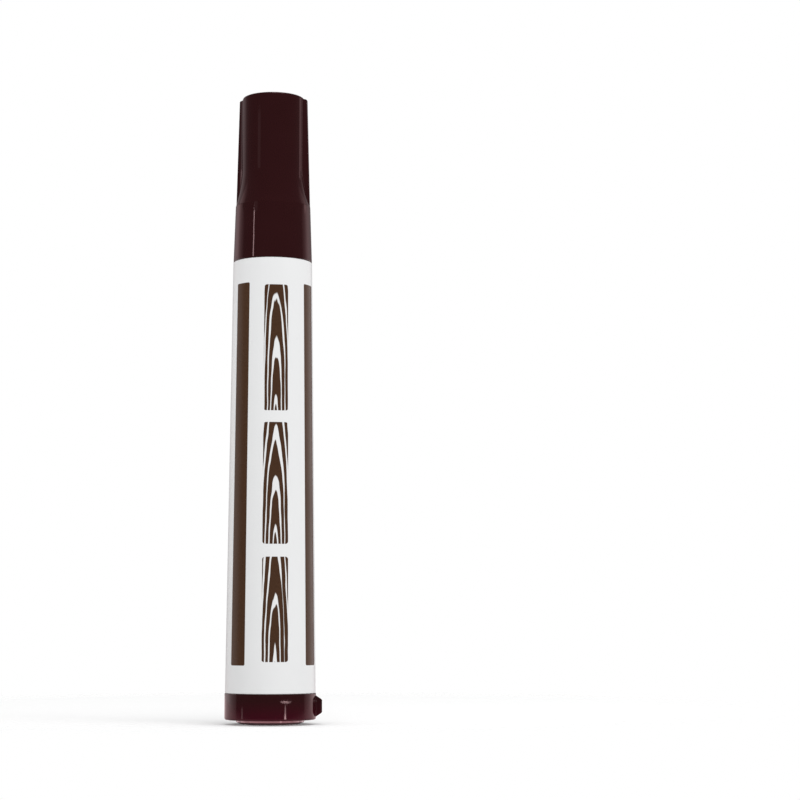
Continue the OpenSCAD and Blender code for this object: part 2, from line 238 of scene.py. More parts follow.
def paint(tree, shader, colour):
    feed(tree, shader.inputs["Base Color"], colour)


def varied(tree, noise, low, high, noiseLow=0.3, noiseHigh=0.7):
    # most of a noise lies between noiseLow and noiseHigh, and that range is carried over to low and high
    return spread(tree, noise, noiseLow, noiseHigh, low, high)


def roughen(tree, shader, roughness):
    feed(tree, shader.inputs["Roughness"], roughness)


def relief(tree, shader, height, depth, strength=1.0):
    node = tree.nodes.new("ShaderNodeBump")
    node.inputs["Strength"].default_value = strength
    node.inputs["Distance"].default_value = depth * mm
    tree.links.new(height, node.inputs["Height"])
    tree.links.new(node.outputs["Normal"], shader.inputs["Normal"])


# Finishes

def makeMahoganyPlastic():
    look = {
        "deep": (0.0195, 0.0042, 0.0047), "warm": (0.0245, 0.0055, 0.0062),
        # the reddest colour and its height range paint a glow of light from below onto the lower end of the
        # tail
        "paintedUnderLight": (0.040, 0.0026, 0.0078), "underLightLow": 1.2, "underLightHigh": 5.2,
        "specularTint": (0.97, 0.62, 0.64, 1), "ior": 1.5, "roughLow": 0.035, "roughHigh": 0.065,
        "cloudScale": 180, "cloudDetail": 3, "peelScale": 900, "peelDetail": 1, "peelDepth": 0.004,
    }
    material, tree, shader = newFinish("mahogany plastic")
    where = place(tree)
    cloud = mottle(tree, where, look["cloudScale"], look["cloudDetail"])
    # the lower end of the tail is painted redder by height: a painted glow that stands in for light from
    # below
    height = splitPlace(tree, where)["Z"]
    underLit = spread(tree, height, look["underLightLow"] * mm, look["underLightHigh"] * mm, 1, 0)
    brown = mixColour(tree, cloud, look["deep"], look["warm"])
    paint(tree, shader, mixColour(tree, underLit, brown, look["paintedUnderLight"]))
    roughen(tree, shader, varied(tree, cloud, look["roughLow"], look["roughHigh"]))
    shader.inputs["Specular Tint"].default_value = look["specularTint"]
    shader.inputs["IOR"].default_value = look["ior"]
    relief(tree, shader, mottle(tree, where, look["peelScale"], look["peelDetail"]), look["peelDepth"])
    return material


whitePlastic = {
    "clean": (0.80, 0.80, 0.785), "shade": (0.74, 0.74, 0.72), "cloudScale": 140, "cloudDetail": 3,
    "roughLow": 0.32, "roughHigh": 0.44, "glow": 0.08, "glowDepth": (1.2, 1.1, 1.0),
    "grainScale": 2600, "grainDepth": 0.006,
}
naturalPlastic = {
    "clean": (0.72, 0.73, 0.68), "shade": (0.62, 0.64, 0.60), "cloudScale": 260, "cloudDetail": 4,
    "roughLow": 0.36, "roughHigh": 0.5, "glow": 0.2, "glowDepth": (1.5, 1.5, 1.3),
    "grainScale": 3000, "grainDepth": 0.006,
}


def makePalePlastic(name, look):
    material, tree, shader = newFinish(name)
    where = place(tree)
    cloud = mottle(tree, where, look["cloudScale"], look["cloudDetail"])
    paint(tree, shader, mixColour(tree, cloud, look["shade"], look["clean"]))
    roughen(tree, shader, varied(tree, cloud, look["roughLow"], look["roughHigh"]))
    shader.inputs["Subsurface Weight"].default_value = look["glow"]
    shader.inputs["Subsurface Radius"].default_value = [depth * mm for depth in look["glowDepth"]]
    relief(tree, shader, mottle(tree, where, look["grainScale"]), look["grainDepth"])
    return material


def makeNibFelt():
    look = {
        "stain": (0.034, 0.0085, 0.006), "dry": (0.11, 0.035, 0.022), "dryLow": 0.15, "dryHigh": 0.4,
        "fibreScale": 1500, "fibreDetail": 4, "fibreRough": 0.65, "fibreStretch": (1, 1, 0.12),
        "fluffScale": 3500, "fluffDetail": 3, "fluffRough": 0.6, "fluffDepth": 0.06, "fluffStrength": 0.8,
        "roughLow": 0.78, "roughHigh": 0.95, "sheen": 0.35, "sheenRough": 0.5,
    }
    material, tree, shader = newFinish("nib felt")
    along = place(tree, look["fibreStretch"])
    fibre = mottle(tree, along, look["fibreScale"], look["fibreDetail"], look["fibreRough"])
    fluff = mottle(tree, place(tree), look["fluffScale"], look["fluffDetail"], look["fluffRough"])
    blend = calc(tree, "MULTIPLY", fibre, fluff)
    dryness = spread(tree, blend, look["dryLow"], look["dryHigh"], 0, 1)
    paint(tree, shader, mixColour(tree, dryness, look["stain"], look["dry"]))
    roughen(tree, shader, varied(tree, fibre, look["roughLow"], look["roughHigh"]))
    shader.inputs["Sheen Weight"].default_value = look["sheen"]
    shader.inputs["Sheen Roughness"].default_value = look["sheenRough"]
    relief(tree, shader, calc(tree, "ADD", fibre, fluff), look["fluffDepth"], look["fluffStrength"])
    return material


def makeSealRubber():
    look = {
        "black": (0.012, 0.012, 0.012), "dusty": (0.032, 0.031, 0.030), "roughLow": 0.55, "roughHigh": 0.75,
        "bloomScale": 700, "bloomDetail": 4, "bloomRough": 0.6, "grainScale": 2400, "grainDepth": 0.01,
    }
    material, tree, shader = newFinish("seal rubber")
    where = place(tree)
    bloom = mottle(tree, where, look["bloomScale"], look["bloomDetail"], look["bloomRough"])
    paint(tree, shader, mixColour(tree, bloom, look["black"], look["dusty"]))
    roughen(tree, shader, varied(tree, bloom, look["roughLow"], look["roughHigh"]))
    relief(tree, shader, mottle(tree, where, look["grainScale"]), look["grainDepth"])
    return material


def makeSpringSteel():
    look = {
        "dark": (0.46, 0.47, 0.49), "light": (0.60, 0.61, 0.63), "roughLow": 0.24, "roughHigh": 0.38,
        "drawnScale": 2200, "drawnDetail": 4, "drawnRough": 0.6, "drawnStretch": (0.4, 0.4, 3),
        "drawnDepth": 0.006,
    }
    material, tree, shader = newFinish("spring steel")
    along = place(tree, look["drawnStretch"])
    drawn = mottle(tree, along, look["drawnScale"], look["drawnDetail"], look["drawnRough"])
    paint(tree, shader, mixColour(tree, drawn, look["dark"], look["light"]))
    roughen(tree, shader, varied(tree, drawn, look["roughLow"], look["roughHigh"]))
    shader.inputs["Metallic"].default_value = 1
    relief(tree, shader, drawn, look["drawnDepth"])
    return material


def makeBallSteel():
    look = {
        "dark": (0.56, 0.56, 0.58), "light": (0.66, 0.66, 0.68), "roughLow": 0.05, "roughHigh": 0.16,
        "hazeScale": 900, "hazeDetail": 5, "hazeRough": 0.7, "hazeLow": 0.35, "hazeHigh": 0.75,
        "grainScale": 5200, "grainDepth": 0.002,
    }
    material, tree, shader = newFinish("ball steel")
    where = place(tree)
    haze = mottle(tree, where, look["hazeScale"], look["hazeDetail"], look["hazeRough"])
    paint(tree, shader, mixColour(tree, haze, look["dark"], look["light"]))
    roughness = varied(tree, haze, look["roughLow"], look["roughHigh"], look["hazeLow"], look["hazeHigh"])
    roughen(tree, shader, roughness)
    shader.inputs["Metallic"].default_value = 1
    relief(tree, shader, mottle(tree, where, look["grainScale"]), look["grainDepth"])
    return material


labelPrint = {
    "film": (0.800, 0.803, 0.805), "filmShade": (0.775, 0.780, 0.785), "cloudScale": 120, "cloudDetail": 3,
    "ink": (0.052, 0.0225, 0.0098), "inkLight": (0.075, 0.034, 0.016),
    "speckScale": 1800, "speckDetail": 2, "speckRough": 0.6, "speckShare": 0.4, "inkDepth": 0.008,
    "sheen": 0.24, "roughLow": 0.27, "roughHigh": 0.36, "inkSmoother": 0.05,
    "meanR": 9.2,  # the print is laid out along an arc of this radius
    "inkEdge": 0.05,
    # two stripes, then planks of plain wood figure between them
    "stripeTurns": (-46.8, 64.4), "stripeHalf": 2.05, "stripe": (12.65, 94.75), "stripeCorner": 0.35,
    "plankTurn": 6.2, "plankHalf": 2.75, "plankCorner": 0.6,
    "planks": ((13.4, 35.6), (38.3, 64.3), (66.8, 94.1)),
    # the figure's arches start below the plank; its pale lines wander and change in width
    "archDrop": 4.0, "archStretch": 0.075, "archLines": 8.2, "archWander": 6.5,
    "wanderScale": 300, "wanderDetail": 3, "wanderRough": 0.55, "wanderStretch": (1, 1, 0.2),
    "widthScale": 620, "widthStretch": (1, 1, 0.12), "lineWide": 0.25, "lineThin": 0.85, "lineEdge": 0.22,
}


def boxDistance(tree, u, v, halfU, midV, halfV, corner):
    # signed distance to a box with round corners on the unrolled label, in millimetres
    du = calc(tree, "SUBTRACT", calc(tree, "ABSOLUTE", u), halfU - corner)
    dv = calc(tree, "SUBTRACT", calc(tree, "ABSOLUTE", calc(tree, "SUBTRACT", v, midV)), halfV - corner)
    outside = longSide(tree, calc(tree, "MAXIMUM", du, 0.0), calc(tree, "MAXIMUM", dv, 0.0))
    inside = calc(tree, "MINIMUM", calc(tree, "MAXIMUM", du, dv), 0.0)
    return calc(tree, "SUBTRACT", calc(tree, "ADD", outside, inside), corner)


def makeLabelFilm():
    look = labelPrint
    material, tree, shader = newFinish("label film")
    where = place(tree)
    spot = splitPlace(tree, where)
    height = calc(tree, "DIVIDE", spot["Z"], mm)
    turn = calc(tree, "ARCTAN2", spot["X"], calc(tree, "MULTIPLY", spot["Y"], -1.0))

    def across(degrees):
        return calc(tree, "MULTIPLY", calc(tree, "SUBTRACT", turn, math.radians(degrees)), look["meanR"])

    def inkedBox(u, half, low, high, corner):
        distance = boxDistance(tree, u, height, half, (low + high) / 2, (high - low) / 2, corner)
        return spread(tree, distance, -look["inkEdge"], look["inkEdge"], 1, 0, "SMOOTHSTEP")

    marks = []
    for degrees in look["stripeTurns"]:
        marks.append(inkedBox(across(degrees), look["stripeHalf"], *look["stripe"], look["stripeCorner"]))
    u = across(look["plankTurn"])
    drift = place(tree, look["wanderStretch"])
    wander = mottle(tree, drift, look["wanderScale"], look["wanderDetail"], look["wanderRough"])
    width = mottle(tree, place(tree, look["widthStretch"]), look["widthScale"])
    lineLow = varied(tree, width, look["lineWide"], look["lineThin"])
    lineHigh = calc(tree, "ADD", lineLow, look["lineEdge"])
    bent = calc(tree, "MULTIPLY", wander, look["archWander"])
    for low, high in look["planks"]:
        plank = inkedBox(u, look["plankHalf"], low, high, look["plankCorner"])
        rise = calc(tree, "SUBTRACT", height, low - look["archDrop"])
        along = calc(tree, "MULTIPLY", rise, look["archStretch"])
        phase = calc(tree, "MULTIPLY_ADD", longSide(tree, u, along), look["archLines"], bent)
        figure = spread(tree, calc(tree, "SINE", phase), lineLow, lineHigh, 1, 0, "SMOOTHSTEP")
        marks.append(calc(tree, "MULTIPLY", plank, figure))
    ink = marks[0]
    for mark in marks[1:]:
        ink = calc(tree, "MAXIMUM", ink, mark)

    cloud = mottle(tree, where, look["cloudScale"], look["cloudDetail"])
    speck = mottle(tree, where, look["speckScale"], look["speckDetail"], look["speckRough"])
    film = mixColour(tree, cloud, look["filmShade"], look["film"])
    brown = mixColour(tree, speck, look["ink"], look["inkLight"])
    paint(tree, shader, mixColour(tree, ink, film, brown))
    shader.inputs["Specular IOR Level"].default_value = look["sheen"]
    filmRough = varied(tree, cloud, look["roughLow"], look["roughHigh"])
    roughen(tree, shader, calc(tree, "SUBTRACT", filmRough, calc(tree, "MULTIPLY", ink, look["inkSmoother"])))
    relief(tree, shader, calc(tree, "MULTIPLY_ADD", speck, look["speckShare"], ink), look["inkDepth"])
    return material


finishes = {
    "mahogany_plastic": makeMahoganyPlastic(),
    "white_plastic": makePalePlastic("white plastic", whitePlastic),
    "natural_plastic": makePalePlastic("natural plastic", naturalPlastic),
    "label_film": makeLabelFilm(),
    "nib_felt": makeNibFelt(),
    "seal_rubber": makeSealRubber(),
    "spring_steel": makeSpringSteel(),
    "ball_steel": makeBallSteel(),
}
print("finishes ready:", len(finishes))

barrelLow, barrelHigh = heightsOf("barrel")


# Cap shell: skirt, flare and round grip, with a fin on each side

capSize = {
    "turn": -9.5, "rimR": 8.59, "rimRound": 0.14, "skirtLen": 12.4, "skirtDraft": 0.40, "creaseSoft": 0.02,
    "flareLen": 9.7, "gripR": 6.83, "flareSink": 0.05, "topRound": 0.4, "topSteps": 7,
    "gateR": 0.8, "gateDepth": 0.15, "gateSlope": 0.1, "gateLip": 0.02,
    "finTopR": 7.53, "finDrop": 0.45, "finRound": 0.15, "finRootW": 4.8, "finTipW": 0.9, "finSink": 1.0,
    "finReach": 24, "hollowR": 3.0, "edgeSoft": 0.12, "rootSoft": 0.10, "rootFall": 2.6,
    "boreR": 7.10, "boreLen": 11.0, "boreCone": 1.6, "boreRound": 0.2, "linerBoreR": 5.58, "roofT": 1.6,
    # how close together the rings and the directions of the mesh are
    "skirtStep": 0.8, "creaseStep": 0.025, "creaseReach": 0.25, "flareStep": 0.2, "gripStep": 0.6,
    "finStep": 0.015, "finClear": (0.004, 0.03), "topSupport": 0.15, "gateSupport": 0.6,
    "fineTurn": 0.4, "coarseTurn": 2,
}
capLow, capHigh = heightsOf("cap_shell")
creaseR = capSize["rimR"] - capSize["skirtDraft"]
creaseZ = capLow + capSize["skirtLen"]
flareZ = creaseZ + capSize["flareLen"]
flareIn = capSize["gripR"] - capSize["flareSink"]
flareArc = (capSize["flareLen"] ** 2 + (creaseR - flareIn) ** 2) / (2 * (creaseR - flareIn))
finTopZ = capHigh - capSize["finDrop"]
finRoot = Vector((math.sqrt(capSize["gripR"] ** 2 - capSize["finRootW"] ** 2 / 4), capSize["finRootW"] / 2))
finTip = Vector(((capSize["finTopR"] + creaseR) / 2, capSize["finTipW"] / 2))
finChord = finTip - finRoot
finOut = Vector((-finChord.y, finChord.x)).normalized()
hollowOff = math.sqrt(capSize["hollowR"] ** 2 - finChord.length_squared / 4)
finHollow = (finRoot + finTip) / 2 + finOut * hollowOff
hollowTurn = math.atan2(finHollow.y, finHollow.x)


def capBody(z):
    skirt = capSize["rimR"] - capSize["skirtDraft"] * (z - capLow) / capSize["skirtLen"]
    drop = max(flareZ - z, 0)
    flare = flareIn + flareArc - math.sqrt(flareArc ** 2 - min(drop, flareArc) ** 2)
    return smoothMax(capSize["gripR"], smoothMin(skirt, flare, capSize["creaseSoft"]), capSize["flareSink"])


def hollowReach(turn):
    # how far out the hollow beside a fin lets the solid go, turn being the angle off the fin
    if turn > hollowTurn:
        return finHollow.length - capSize["hollowR"] - capSize["rootFall"] * (turn - hollowTurn)
    along = finHollow.length * math.cos(turn - hollowTurn)
    inside = along ** 2 - finHollow.length_squared + capSize["hollowR"] ** 2
    return along - math.sqrt(inside) if inside > 0 else along


def finReach(angle, z):
    if z > finTopZ or z < creaseZ - capSize["finSink"]:
        return 0
    turn = abs((math.degrees(angle) - capSize["turn"] + 90) % 180 - 90)
    tip = capSize["finTopR"] + (creaseR - capSize["finTopR"]) * (finTopZ - z) / (finTopZ - creaseZ)
    corner = max(z - finTopZ + capSize["finRound"], 0)
    tip -= capSize["finRound"] - math.sqrt(max(capSize["finRound"] ** 2 - corner ** 2, 0))
    return smoothMin(tip, hollowReach(math.radians(turn)), capSize["edgeSoft"])


def capReach(angle, z):
    return smoothMax(capBody(z), finReach(angle, z), capSize["rootSoft"])


def makeCapShell():
    size = capSize
    boreTop = capLow + size["boreLen"]
    coneTop = boreTop + size["boreCone"]
    roofZ = capHigh - size["roofT"]
    inner = roundedOutline([
        (0, roofZ, 0), (size["linerBoreR"], roofZ, size["boreRound"]),
        (size["linerBoreR"], coneTop, size["boreRound"]), (size["boreR"], boreTop, size["boreRound"]),
        (size["boreR"], capLow, size["rimRound"]), (size["rimR"], capLow, size["rimRound"]),
        (size["rimR"] - 0.01, capLow + 0.3, 0),  # leads on to the skirt
    ])
    # bands of rings as (from, to, step), close together at the crease, on the flare and at the fins' tops
    finEdgeZ = finTopZ - size["finRound"]
    bands = (
        (capLow + 0.6, creaseZ - 1, size["skirtStep"]),
        (creaseZ - size["creaseReach"], creaseZ + size["creaseReach"], size["creaseStep"]),
        (creaseZ + 0.7, flareZ + 1, size["flareStep"]),
        (flareZ + 1.6, finEdgeZ, size["gripStep"]),
        (finEdgeZ + size["finStep"], finTopZ, size["finStep"]),
    )
    outer = []
    for low, high, step in bands:
        outer += [(capReach, z) for z in evenSteps(low, high, step)]
    outer += [(capReach, finTopZ + clear) for clear in size["finClear"]]
    shoulderR = size["gripR"] - size["topRound"]
    shoulderZ = capHigh - size["topRound"]
    shoulder = []
    for step in range(size["topSteps"] + 1):
        tilt = math.pi / 2 * step / size["topSteps"]
        r = shoulderR + size["topRound"] * math.cos(tilt)
        z = shoulderZ + size["topRound"] * math.sin(tilt)
        shoulder.append((r, z))
    # the flat top has a support ring at each end, round the gate mark in its middle
    gateZ = capHigh - size["gateDepth"]
    top = [
        (shoulderR - size["topSupport"], capHigh), (size["gateR"] + size["gateSupport"], capHigh),
        (size["gateR"] + size["gateSlope"], capHigh), (size["gateR"], capHigh - size["gateLip"]),
        (size["gateR"] - size["gateSlope"], gateZ), (0, gateZ),
    ]
    fins = (size["turn"], size["turn"] + 180)
    angles = fanAngles(fins, size["finReach"], size["fineTurn"], size["coarseTurn"])
    cap = turnedMesh("capShell", inner + outer + shoulder + top, angles)
    dress(cap, finishes["mahogany_plastic"], "cap", "cap_shell")


makeCapShell()


# Tail plug: ring with the anti-roll lug, end boss below and the plug inside the barrel

tailSize = {
    "footR": 5.0, "bossR": 7.3, "bossH": 1.05, "bossSide": 0.5, "bossRound": 0.06, "domeSteps": 8,
    "ringR": 9.8, "ringTop": barrelLow, "ringRound": 0.4, "ringBevel": 0.14,
    "lugHalfW": 1.65, "lugProud": 1.3, "lugMid": 3.91, "lugRootH": 4.4, "lugFaceH": 2.7,
    "lugSoft": 0.16, "slantSoft": 0.2, "lugReach": 14,
    "plugR": 8.22, "plugWall": 1.35, "plugRoot": 0.05, "plugRound": 0.15, "floorZ": 1.8, "floorRound": 0.3,
    "grooveDepth": 0.3, "grooveW": 1.4, "groovePitch": 2.8, "grooves": 3, "grooveRound": 0.06,
    # how close together the rings and the directions of the mesh are
    "footSupport": 0.4, "support": 0.04, "ringGap": 0.02, "ringStep": 0.06,
    "fineReach": 13, "fineTurn": 0.25, "coarseTurn": 2,
}


def tailReach(angle, z):
    size = tailSize
    turn = abs((math.degrees(angle) + 180) % 360 - 180)
    high = abs(z - size["lugMid"])
    if turn > size["lugReach"] or high > size["lugRootH"] / 2:
        return size["ringR"]
    slant = (size["lugRootH"] / 2 - high) / (size["lugRootH"] / 2 - size["lugFaceH"] / 2)
    face = size["ringR"] + size["lugProud"] * smoothMin(slant, 1, size["slantSoft"])
    turn = math.radians(turn)
    side = size["lugHalfW"] / max(math.sin(turn), 0.01)  # straight ahead it never divides by 0
    return max(size["ringR"], smoothMin(face / math.cos(turn), side, size["lugSoft"]))


def makeTailPlug():
    size = tailSize
    plugTop = heightsOf("tail_plug")[1]
    run = size["bossR"] - size["footR"]
    rise = size["bossH"] - size["bossSide"]
    domeR = (run ** 2 + rise ** 2) / (2 * rise)
    domeTurn = math.asin(run / domeR)
    dome = []
    for step in range(size["domeSteps"]):
        tilt = domeTurn * step / size["domeSteps"]
        dome.append((size["footR"] + domeR * math.sin(tilt), domeR * (1 - math.cos(tilt))))
    foot = [(0, 0), (size["footR"] - size["footSupport"], 0)] + dome
    # the ends of this outline are cut off again: they only give the corners beside them a direction
    boss = roundedOutline([
        (*dome[-1], 0), (size["bossR"], rise, size["bossRound"]),
        (size["bossR"], size["bossH"], size["bossRound"]), (size["ringR"], size["bossH"], size["ringRound"]),
        (size["ringR"], size["bossH"] + 1, 0),
    ], support=size["support"])[1:-2]
    ringLow = size["bossH"] + size["ringRound"] + size["ringGap"]
    ringHigh = size["ringTop"] - size["ringBevel"] - size["ringGap"]
    ring = [(tailReach, z) for z in evenSteps(ringLow, ringHigh, size["ringStep"])]
    corners = [
        (size["ringR"], ringHigh, 0), (size["ringR"], size["ringTop"], size["ringBevel"]),
        (size["plugR"], size["ringTop"], size["plugRoot"]),
    ]
    grooveLow = plugTop - size["grooves"] * size["groovePitch"]
    grooveR = size["plugR"] - size["grooveDepth"]
    for _ in range(size["grooves"]):
        grooveHigh = grooveLow + size["grooveW"]
        corners += [
            (size["plugR"], grooveLow, size["grooveRound"]), (grooveR, grooveLow, size["grooveRound"]),
            (grooveR, grooveHigh, size["grooveRound"]), (size["plugR"], grooveHigh, size["grooveRound"]),
        ]
        grooveLow += size["groovePitch"]
    cupR = size["plugR"] - size["plugWall"]
    corners += [
        (size["plugR"], plugTop, size["plugRound"]), (cupR, plugTop, size["plugRound"]),
        (cupR, size["floorZ"], size["floorRound"]), (0, size["floorZ"], 0),
    ]
    plug = roundedOutline(corners, support=size["support"])[1:]
    angles = fanAngles((0,), size["fineReach"], size["fineTurn"], size["coarseTurn"])
    tail = turnedMesh("tailPlug", foot + boss + ring + plug, angles)
    dress(tail, finishes["mahogany_plastic"], "pen_body", "tail_plug")


makeTailPlug()


# Barrel and the film round it, which overlaps itself at the back

barrelSize = {
    "rearR": 9.56, "frontR": 8.47, "plugBoreR": 8.25, "frontBoreR": 6.43, "boreSpare": 0.6,
    "chamberCone": 0.9, "wall": 1.31, "rearRound": 0.08, "frontRound": 0.12, "mouthRound": 0.1,
    "coneRound": 0.2, "chamberRound": 0.5, "coarseTurn": 2,
}


def barrelR(z):
    share = (z - barrelLow) / (barrelHigh - barrelLow)
    return barrelSize["rearR"] + (barrelSize["frontR"] - barrelSize["rearR"]) * share


def makeBarrel():
    size = barrelSize
    plugEnd = heightsOf("tail_plug")[1] + size["boreSpare"]
    frontBoreZ = heightsOf("front_section")[0] - size["boreSpare"]
    chamberTop = frontBoreZ - size["chamberCone"]
    chamberR = barrelR(chamberTop) - size["wall"]
    outline = roundedOutline([
        (size["plugBoreR"], barrelLow, size["rearRound"]), (size["rearR"], barrelLow, size["rearRound"]),
        (size["frontR"], barrelHigh, size["frontRound"]),
        (size["frontBoreR"], barrelHigh, size["mouthRound"]),
        (size["frontBoreR"], frontBoreZ, size["coneRound"]), (chamberR, chamberTop, size["coneRound"]),
        (size["plugBoreR"], plugEnd, size["chamberRound"]),
    ], loop=True)
    barrel = turnedMesh("barrelTube", outline, fanAngles(coarse=size["coarseTurn"]), loop=True)
    dress(barrel, finishes["white_plastic"], "pen_body", "barrel")


labelSize = {
    "glue": 0.02, "film": 0.12, "ringStep": 2.0, "seamTurn": 195, "lapTurn": 28, "lapRise": 0.07,
    "riseTurn": 5, "edgeTurn": 0.35, "endRings": (0.01, 0.05, 0.4), "underRing": 0.3,
    "riseSpot": 25, "fineReach": 4, "fineTurn": 0.15, "coarseTurn": 2,
}


def lapLift(angle):
    # the outer end of the film lies on its inner end: a gentle rise on one side and a cut edge on the other
    fromEdge = (math.degrees(angle) + 90 - labelSize["seamTurn"]) % 360
    cut = min(fromEdge / labelSize["edgeTurn"], 1)
    fade = min(max((labelSize["lapTurn"] - fromEdge) / labelSize["riseTurn"], 0), 1)
    return labelSize["lapRise"] * cut * fade * fade * (3 - 2 * fade)


def makeLabelWrap():
    size = labelSize
    low, high = heightsOf("label_wrap")
    outerLift = size["glue"] + size["film"]

    def outerFace(angle, z):
        return barrelR(z) + outerLift + lapLift(angle)

    def underFace(angle, z):
        return barrelR(z) + size["glue"]

    # rings close to each end keep the cut edges crisp
    first, second, third = size["endRings"]
    heights = [low + first, low + second]
    heights += evenSteps(low + third, high - third, size["ringStep"])
    heights += [high - second, high - first]
    outer = [(outerFace, z) for z in heights]
    under = [(underFace, z) for z in (high, high - size["underRing"], low + size["underRing"], low)]
    seam = size["seamTurn"] - 90
    folds = (seam, seam + size["riseSpot"])
    angles = fanAngles(folds, size["fineReach"], size["fineTurn"], size["coarseTurn"])
    label = turnedMesh("labelWrap", outer + under, angles, loop=True)
    dress(label, finishes["label_film"], "pen_body", "label_wrap")


makeBarrel()
makeLabelWrap()


# Front section and nib, which show when the cap is off

frontSize = {
    "socketR": 4.9, "socketRise": 4.05, "spigotR": 6.40, "seatR": 7.0, "seatLen": 9.2, "seatBevel": 0.8,
    "beadRise": 3.0, "beadHalf": 0.6, "beadProud": 0.05, "coneR": 5.0, "coneLen": 7.0,
    "noseR": 3.75, "noseRound": 0.5, "nibBoreR": 2.55,
    "socketMouth": 0.15, "socketEnd": 0.1, "spigotRound": 0.2, "seatRoot": 0.02, "seatRound": 0.25,
    "beadFoot": 0.3, "beadRound": 0.6, "bevelRound": 0.12, "coneFoot": 0.4, "coneRound": 1.5,
    "nibBoreMouth": 0.12, "nibBoreEnd": 0.05, "support": 0.08,
}


def makeFrontSection():
    size = frontSize
    low, high = heightsOf("front_section")
    socketTop = barrelHigh + size["socketRise"]
    seatTop = barrelHigh + size["seatLen"]
    beadZ = barrelHigh + size["beadRise"]
    coneZ = seatTop + size["seatBevel"]
    noseZ = coneZ + size["coneLen"]
    outline = roundedOutline([
        (size["socketR"], low, size["socketMouth"]), (size["spigotR"], low, size["spigotRound"]),
        (size["spigotR"], barrelHigh, 0), (size["seatR"], barrelHigh, size["seatRoot"]),
        (size["seatR"], beadZ - size["beadHalf"], size["beadFoot"]),
        (size["seatR"] + size["beadProud"], beadZ, size["beadRound"]),
        (size["seatR"], beadZ + size["beadHalf"], size["beadFoot"]),
        (size["seatR"], seatTop, size["seatRound"]),
        (size["seatR"] - size["seatBevel"], coneZ, size["bevelRound"]),
        (size["coneR"], coneZ, size["coneFoot"]), (size["noseR"], noseZ, size["coneRound"]),
        (size["noseR"], high, size["noseRound"]), (size["nibBoreR"], high, size["nibBoreMouth"]),
        (size["nibBoreR"], socketTop, size["nibBoreEnd"]), (size["socketR"], socketTop, size["socketEnd"]),
    ], loop=True, support=size["support"])
    front = turnedMesh("frontSection", outline, fanAngles(), loop=True)
    dress(front, finishes["white_plastic"], "pen_body", "front_section")


nibSize = {
    "r": 2.5, "pointLen": 3.6, "rearBevel": 0.3, "wobble": 0.03,
    "rearRing": 0.5, "sideStep": 0.5, "pointSteps": 14, "coarseTurn": 4,
    "lobes": ((1.0, 3, 0.9), (0.6, 7, -1.7)),  # share, count round the nib and slant along it
}


def makeNib():
    size = nibSize
    low, high = heightsOf("nib")
    pointZ = high - size["pointLen"]
    lobeSum = sum(share for share, count, slant in size["lobes"])

    def feltFace(share):
        # pressed felt is never quite round
        def reach(angle, z):
            ripple = sum(part * math.sin(count * angle + slant * z) for part, count, slant in size["lobes"])
            return size["r"] * share - size["wobble"] * share * (1 + ripple / lobeSum) / 2
        return reach

    rearEdge = 1 - size["rearBevel"] / size["r"]
    stations = [(0, low), (feltFace(size["rearRing"]), low), (feltFace(rearEdge), low)]
    stations += [(feltFace(1), z) for z in evenSteps(low + size["rearBevel"], pointZ, size["sideStep"])]
    for step in range(1, size["pointSteps"]):
        tilt = math.pi / 2 * step / size["pointSteps"]
        stations.append((feltFace(math.cos(tilt)), pointZ + size["pointLen"] * math.sin(tilt)))
    stations.append((0, high))
    nib = turnedMesh("feltNib", stations, fanAngles(coarse=size["coarseTurn"]))
    dress(nib, finishes["nib_felt"], "nib_body", "nib")


makeFrontSection()
makeNib()


# Liner in the cap, and the valve spring, which is shortened by the stem

linerSize = {
    "r": 5.55, "wall": 1.1, "roofT": 1.0, "lipR": 3.85, "lipH": 1.2, "topRound": 0.3, "rimRound": 0.2,
    "lipMouth": 0.25, "lipEnd": 0.2, "lipRoot": 0.15, "roofRound": 0.4, "coarseTurn": 3,
}


def makeCapLiner():
    size = linerSize
    low, high = heightsOf("cap_liner")
    inR = size["r"] - size["wall"]
    lipTop = low + size["lipH"]
    roofZ = high - size["roofT"]
    outline = roundedOutline([
        (0, high, 0), (size["r"], high, size["topRound"]), (size["r"], low, size["rimRound"]),
        (size["lipR"], low, size["lipMouth"]), (size["lipR"], lipTop, size["lipEnd"]),
        (inR, lipTop, size["lipRoot"]), (inR, roofZ, size["roofRound"]), (0, roofZ, 0),
    ])
    liner = turnedMesh("capLiner", outline, fanAngles(coarse=size["coarseTurn"]))
    dress(liner, finishes["natural_plastic"], "cap", "cap_liner")


springSize = {
    "coilR": 2.35, "wireR": 0.3, "turns": 6, "endGap": 0.02, "turnSteps": 40, "wireSides": 12, "stroke": 1.5,
}


def makeValveSpring():
    size = springSize
    low, high = heightsOf("valve_spring")
    firstZ = low + size["wireR"]
    lastZ = high - size["wireR"]
    steps = size["turns"] * size["turnSteps"]
    mesh = bmesh.new()
    rings = []
    for i in range(steps + 1):
        turn = 2 * math.pi * i / size["turnSteps"]
        middle = firstZ + (lastZ - firstZ) * i / steps
        ring = []
        for k in range(size["wireSides"]):
            side = 2 * math.pi * k / size["wireSides"]
            reach = size["coilR"] + size["wireR"] * math.cos(side)
            z = middle + size["wireR"] * math.sin(side)
            ring.append(mesh.verts.new((reach * math.cos(turn) * mm, reach * math.sin(turn) * mm, z * mm)))
        rings.append(ring)
    for first, second in zip(rings, rings[1:]):
        for k in range(size["wireSides"]):
            j = (k + 1) % size["wireSides"]
            mesh.faces.new((first[k], first[j], second[j], second[k]))
    mesh.faces.new(rings[0])
    mesh.faces.new(rings[-1])
    spring = finishMesh("valveSpring", mesh)
    dress(spring, finishes["spring_steel"], "pen_body", "valve_spring")
    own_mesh(spring)


makeCapLiner()
makeValveSpring()


# The remaining CAD pieces keep their shape and take a finish

